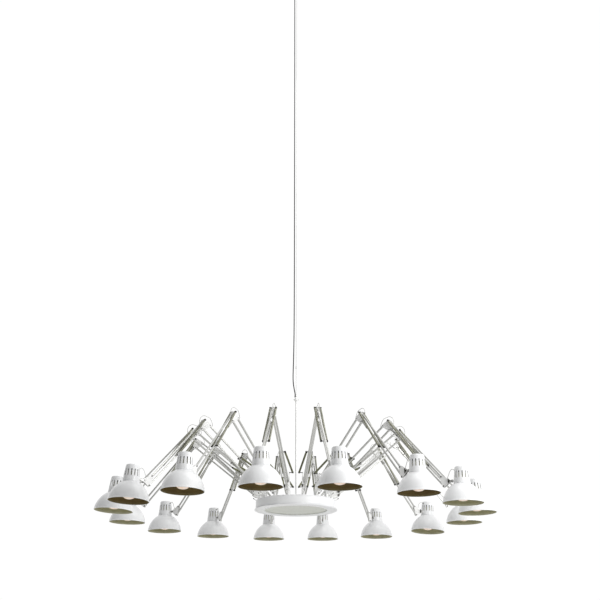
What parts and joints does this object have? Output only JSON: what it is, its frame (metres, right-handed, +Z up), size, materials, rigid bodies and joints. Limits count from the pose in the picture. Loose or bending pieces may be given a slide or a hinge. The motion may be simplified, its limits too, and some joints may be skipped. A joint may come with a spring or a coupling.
{
  "type": "adjustable arm chandelier",
  "caption": "Ceiling chandelier: sprung desk-lamp arms with bell shades stand round a flat white drum that hangs from a ceiling wire beside its black power cord.",
  "frame": {"origin": "middle of the ceiling plate's top face, where it meets the ceiling", "axes": "+Z up along the hanging wire and rod; +X to the viewer's right; -Y towards the viewer"},
  "size_m": [2.3624, 2.3563, 4.2126],
  "materials": {
    "shade_paint": "semi-gloss white paint on spun aluminium, olive-brown inside",
    "white_paint": "smooth semi-gloss white paint",
    "arm_metal": "light grey satin, painted square bars",
    "cover_gloss": "glossy pale greenish grey",
    "grey_plastic": "light grey moulded plastic",
    "bright_steel": "bright zinc-plated steel",
    "black_cable": "matt black round cable sheath",
    "spring_steel": "dark oiled spring wire",
    "dark_metal": "blackened bolts, pins and knobs",
    "bulb_glass": "frosted warm white glass"
  },
  "bodies": {
    "root": {"arm_carrier": "white_paint", "drum_housing": "white_paint", "bottom_cover": "cover_gloss", "terminal_box": "grey_plastic", "stem_rod": "arm_metal", "top_fitting": "bright_steel", "suspension_wire": "bright_steel", "wire_gripper": "bright_steel", "power_cord": "black_cable", "ceiling_plate": "bright_steel", "ceiling_canopy": "white_paint", "cord_gland": "grey_plastic"},
    "lower_arm_01": {"lower_arm_01": "arm_metal"},
    "upper_arm_01": {"upper_arm_01": "arm_metal"},
    "shade_01": {"shade_01": "shade_paint"},
    "lower_arm_02": {"lower_arm_02": "arm_metal"},
    "upper_arm_02": {"upper_arm_02": "arm_metal"},
    "shade_02": {"shade_02": "shade_paint"},
    "lower_arm_03": {"lower_arm_03": "arm_metal"},
    "upper_arm_03": {"upper_arm_03": "arm_metal"},
    "shade_03": {"shade_03": "shade_paint"},
    "lower_arm_04": {"lower_arm_04": "arm_metal"},
    "upper_arm_04": {"upper_arm_04": "arm_metal"},
    "shade_04": {"shade_04": "shade_paint"},
    "lower_arm_05": {"lower_arm_05": "arm_metal"},
    "upper_arm_05": {"upper_arm_05": "arm_metal"},
    "shade_05": {"shade_05": "shade_paint"},
    "lower_arm_06": {"lower_arm_06": "arm_metal"},
    "upper_arm_06": {"upper_arm_06": "arm_metal"},
    "shade_06": {"shade_06": "shade_paint"},
    "lower_arm_07": {"lower_arm_07": "arm_metal"},
    "upper_arm_07": {"upper_arm_07": "arm_metal"},
    "shade_07": {"shade_07": "shade_paint"},
    "lower_arm_08": {"lower_arm_08": "arm_metal"},
    "upper_arm_08": {"upper_arm_08": "arm_metal"},
    "shade_08": {"shade_08": "shade_paint"},
    "lower_arm_09": {"lower_arm_09": "arm_metal"},
    "upper_arm_09": {"upper_arm_09": "arm_metal"},
    "shade_09": {"shade_09": "shade_paint"},
    "lower_arm_10": {"lower_arm_10": "arm_metal"},
    "upper_arm_10": {"upper_arm_10": "arm_metal"},
    "shade_10": {"shade_10": "shade_paint"},
    "lower_arm_11": {"lower_arm_11": "arm_metal"},
    "upper_arm_11": {"upper_arm_11": "arm_metal"},
    "shade_11": {"shade_11": "shade_paint"},
    "lower_arm_12": {"lower_arm_12": "arm_metal"},
    "upper_arm_12": {"upper_arm_12": "arm_metal"},
    "shade_12": {"shade_12": "shade_paint"},
    "lower_arm_13": {"lower_arm_13": "arm_metal"},
    "upper_arm_13": {"upper_arm_13": "arm_metal"},
    "shade_13": {"shade_13": "shade_paint"},
    "lower_arm_14": {"lower_arm_14": "arm_metal"},
    "upper_arm_14": {"upper_arm_14": "arm_metal"},
    "shade_14": {"shade_14": "shade_paint"},
    "lower_arm_15": {"lower_arm_15": "arm_metal"},
    "upper_arm_15": {"upper_arm_15": "arm_metal"},
    "shade_15": {"shade_15": "shade_paint"},
    "lower_arm_16": {"lower_arm_16": "arm_metal"},
    "upper_arm_16": {"upper_arm_16": "arm_metal"},
    "shade_16": {"shade_16": "shade_paint"}
  },
  "joints": [
    {"name": "shoulder_01", "type": "hinge", "parent": "root", "child": "lower_arm_01", "pos_m": [-0.26332, -0.05473, -4.052], "axis": [-0.2462, 0.9692, 0], "range_deg": [-12, 35]},
    {"name": "elbow_01", "type": "hinge", "parent": "lower_arm_01", "child": "upper_arm_01", "pos_m": [-0.64259, -0.15105, -3.68674], "axis": [-0.2462, 0.9692, 0], "range_deg": [-25, 45]},
    {"name": "shade_tilt_01", "type": "hinge", "parent": "upper_arm_01", "child": "shade_01", "pos_m": [-0.98643, -0.23837, -4.07794], "axis": [-0.2462, 0.9692, 0], "range_deg": [-30, 60]},
    {"name": "shoulder_02", "type": "hinge", "parent": "root", "child": "lower_arm_02", "pos_m": [-0.22367, -0.14945, -4.052], "axis": [-0.5556, 0.8315, 0], "range_deg": [-12, 35]},
    {"name": "elbow_02", "type": "hinge", "parent": "lower_arm_02", "child": "upper_arm_02", "pos_m": [-0.54902, -0.36684, -3.68674], "axis": [-0.5556, 0.8315, 0], "range_deg": [-25, 45]},
    {"name": "shade_tilt_02", "type": "hinge", "parent": "upper_arm_02", "child": "shade_02", "pos_m": [-0.84399, -0.56394, -4.07794], "axis": [-0.5556, 0.8315, 0], "range_deg": [-30, 60]},
    {"name": "shoulder_03", "type": "hinge", "parent": "root", "child": "lower_arm_03", "pos_m": [-0.14881, -0.22409, -4.052], "axis": [-0.841, 0.541, 0], "range_deg": [-12, 35]},
    {"name": "elbow_03", "type": "hinge", "parent": "lower_arm_03", "child": "upper_arm_03", "pos_m": [-0.36049, -0.55319, -3.68674], "axis": [-0.841, 0.541, 0], "range_deg": [-25, 45]},
    {"name": "shade_tilt_03", "type": "hinge", "parent": "upper_arm_03", "child": "shade_03", "pos_m": [-0.55241, -0.85155, -4.07794], "axis": [-0.841, 0.541, 0], "range_deg": [-30, 60]},
    {"name": "shoulder_04", "type": "hinge", "parent": "root", "child": "lower_arm_04", "pos_m": [-0.05248, -0.26383, -4.052], "axis": [-0.9808, 0.1951, 0], "range_deg": [-12, 35]},
    {"name": "elbow_04", "type": "hinge", "parent": "lower_arm_04", "child": "upper_arm_04", "pos_m": [-0.12882, -0.64762, -3.68674], "axis": [-0.9808, 0.1951, 0], "range_deg": [-25, 45]},
    {"name": "shade_tilt_04", "type": "hinge", "parent": "upper_arm_04", "child": "shade_04", "pos_m": [-0.19803, -0.99556, -4.07794], "axis": [-0.9808, 0.1951, 0], "range_deg": [-30, 60]},
    {"name": "shoulder_05", "type": "hinge", "parent": "root", "child": "lower_arm_05", "pos_m": [0.05173, -0.26397, -4.052], "axis": [-0.984, -0.1779, 0], "range_deg": [-12, 35]},
    {"name": "elbow_05", "type": "hinge", "parent": "lower_arm_05", "child": "upper_arm_05", "pos_m": [0.12136, -0.64903, -3.68674], "axis": [-0.984, -0.1779, 0], "range_deg": [-25, 45]},
    {"name": "shade_tilt_05", "type": "hinge", "parent": "upper_arm_05", "child": "shade_05", "pos_m": [0.18448, -0.99813, -4.07794], "axis": [-0.984, -0.1779, 0], "range_deg": [-30, 60]},
    {"name": "shoulder_06", "type": "hinge", "parent": "root", "child": "lower_arm_06", "pos_m": [0.1504, -0.22301, -4.052], "axis": [-0.8166, -0.5771, 0], "range_deg": [-12, 35]},
    {"name": "elbow_06", "type": "hinge", "parent": "lower_arm_06", "child": "upper_arm_06", "pos_m": [0.37624, -0.54257, -3.68674], "axis": [-0.8166, -0.5771, 0], "range_deg": [-25, 45]},
    {"name": "shade_tilt_06", "type": "hinge", "parent": "upper_arm_06", "child": "shade_06", "pos_m": [0.58098, -0.83228, -4.07794], "axis": [-0.8166, -0.5771, 0], "range_deg": [-30, 60]},
    {"name": "shoulder_07", "type": "hinge", "parent": "root", "child": "lower_arm_07", "pos_m": [0.22429, -0.14848, -4.052], "axis": [-0.5336, -0.8457, 0], "range_deg": [-12, 35]},
    {"name": "elbow_07", "type": "hinge", "parent": "lower_arm_07", "child": "upper_arm_07", "pos_m": [0.55523, -0.35729, -3.68674], "axis": [-0.5336, -0.8457, 0], "range_deg": [-25, 45]},
    {"name": "shade_tilt_07", "type": "hinge", "parent": "upper_arm_07", "child": "shade_07", "pos_m": [0.85526, -0.54659, -4.07794], "axis": [-0.5336, -0.8457, 0], "range_deg": [-30, 60]},
    {"name": "shoulder_08", "type": "hinge", "parent": "root", "child": "lower_arm_08", "pos_m": [0.26391, -0.0521, -4.052], "axis": [-0.1865, -0.9825, 0], "range_deg": [-12, 35]},
    {"name": "elbow_08", "type": "hinge", "parent": "lower_arm_08", "child": "upper_arm_08", "pos_m": [0.64834, -0.12509, -3.68674], "axis": [-0.1865, -0.9825, 0], "range_deg": [-25, 45]},
    {"name": "shade_tilt_08", "type": "hinge", "parent": "upper_arm_08", "child": "shade_08", "pos_m": [0.99687, -0.19126, -4.07794], "axis": [-0.1865, -0.9825, 0], "range_deg": [-30, 60]},
    {"name": "shoulder_09", "type": "hinge", "parent": "root", "child": "lower_arm_09", "pos_m": [0.26397, 0.05173, -4.052], "axis": [0.1779, -0.984, 0], "range_deg": [-12, 35]},
    {"name": "elbow_09", "type": "hinge", "parent": "lower_arm_09", "child": "upper_arm_09", "pos_m": [0.64903, 0.12136, -3.68674], "axis": [0.1779, -0.984, 0], "range_deg": [-25, 45]},
    {"name": "shade_tilt_09", "type": "hinge", "parent": "upper_arm_09", "child": "shade_09", "pos_m": [0.99813, 0.18448, -4.07794], "axis": [0.1779, -0.984, 0], "range_deg": [-30, 60]},
    {"name": "shoulder_10", "type": "hinge", "parent": "root", "child": "lower_arm_10", "pos_m": [0.22367, 0.14945, -4.052], "axis": [0.5556, -0.8315, 0], "range_deg": [-12, 35]},
    {"name": "elbow_10", "type": "hinge", "parent": "lower_arm_10", "child": "upper_arm_10", "pos_m": [0.54902, 0.36684, -3.68674], "axis": [0.5556, -0.8315, 0], "range_deg": [-25, 45]},
    {"name": "shade_tilt_10", "type": "hinge", "parent": "upper_arm_10", "child": "shade_10", "pos_m": [0.84399, 0.56394, -4.07794], "axis": [0.5556, -0.8315, 0], "range_deg": [-30, 60]},
    {"name": "shoulder_11", "type": "hinge", "parent": "root", "child": "lower_arm_11", "pos_m": [0.14816, 0.2245, -4.052], "axis": [0.8504, -0.5262, 0], "range_deg": [-12, 35]},
    {"name": "elbow_11", "type": "hinge", "parent": "lower_arm_11", "child": "upper_arm_11", "pos_m": [0.35407, 0.55724, -3.68674], "axis": [0.8504, -0.5262, 0], "range_deg": [-25, 45]},
    {"name": "shade_tilt_11", "type": "hinge", "parent": "upper_arm_11", "child": "shade_11", "pos_m": [0.54075, 0.85891, -4.07794], "axis": [0.8504, -0.5262, 0], "range_deg": [-30, 60]},
    {"name": "shoulder_12", "type": "hinge", "parent": "root", "child": "lower_arm_12", "pos_m": [0.05173, 0.26397, -4.052], "axis": [0.984, -0.1779, 0], "range_deg": [-12, 35]},
    {"name": "elbow_12", "type": "hinge", "parent": "lower_arm_12", "child": "upper_arm_12", "pos_m": [0.12136, 0.64903, -3.68674], "axis": [0.984, -0.1779, 0], "range_deg": [-25, 45]},
    {"name": "shade_tilt_12", "type": "hinge", "parent": "upper_arm_12", "child": "shade_12", "pos_m": [0.18448, 0.99813, -4.07794], "axis": [0.984, -0.1779, 0], "range_deg": [-30, 60]},
    {"name": "shoulder_13", "type": "hinge", "parent": "root", "child": "lower_arm_13", "pos_m": [-0.05173, 0.26397, -4.052], "axis": [0.984, 0.1779, 0], "range_deg": [-12, 35]},
    {"name": "elbow_13", "type": "hinge", "parent": "lower_arm_13", "child": "upper_arm_13", "pos_m": [-0.12136, 0.64903, -3.68674], "axis": [0.984, 0.1779, 0], "range_deg": [-25, 45]},
    {"name": "shade_tilt_13", "type": "hinge", "parent": "upper_arm_13", "child": "shade_13", "pos_m": [-0.18448, 0.99813, -4.07794], "axis": [0.984, 0.1779, 0], "range_deg": [-30, 60]},
    {"name": "shoulder_14", "type": "hinge", "parent": "root", "child": "lower_arm_14", "pos_m": [-0.14881, 0.22409, -4.052], "axis": [0.841, 0.541, 0], "range_deg": [-12, 35]},
    {"name": "elbow_14", "type": "hinge", "parent": "lower_arm_14", "child": "upper_arm_14", "pos_m": [-0.36049, 0.55319, -3.68674], "axis": [0.841, 0.541, 0], "range_deg": [-25, 45]},
    {"name": "shade_tilt_14", "type": "hinge", "parent": "upper_arm_14", "child": "shade_14", "pos_m": [-0.55241, 0.85155, -4.07794], "axis": [0.841, 0.541, 0], "range_deg": [-30, 60]},
    {"name": "shoulder_15", "type": "hinge", "parent": "root", "child": "lower_arm_15", "pos_m": [-0.22323, 0.15008, -4.052], "axis": [0.57, 0.8216, 0], "range_deg": [-12, 35]},
    {"name": "elbow_15", "type": "hinge", "parent": "lower_arm_15", "child": "upper_arm_15", "pos_m": [-0.54475, 0.37312, -3.68674], "axis": [0.57, 0.8216, 0], "range_deg": [-25, 45]},
    {"name": "shade_tilt_15", "type": "hinge", "parent": "upper_arm_15", "child": "shade_15", "pos_m": [-0.83623, 0.57534, -4.07794], "axis": [0.57, 0.8216, 0], "range_deg": [-30, 60]},
    {"name": "shoulder_16", "type": "hinge", "parent": "root", "child": "lower_arm_16", "pos_m": [-0.26391, 0.0521, -4.052], "axis": [0.1865, 0.9825, 0], "range_deg": [-12, 35]},
    {"name": "elbow_16", "type": "hinge", "parent": "lower_arm_16", "child": "upper_arm_16", "pos_m": [-0.64834, 0.12509, -3.68674], "axis": [0.1865, 0.9825, 0], "range_deg": [-25, 45]},
    {"name": "shade_tilt_16", "type": "hinge", "parent": "upper_arm_16", "child": "shade_16", "pos_m": [-0.99687, 0.19126, -4.07794], "axis": [0.1865, 0.9825, 0], "range_deg": [-30, 60]}
  ]
}
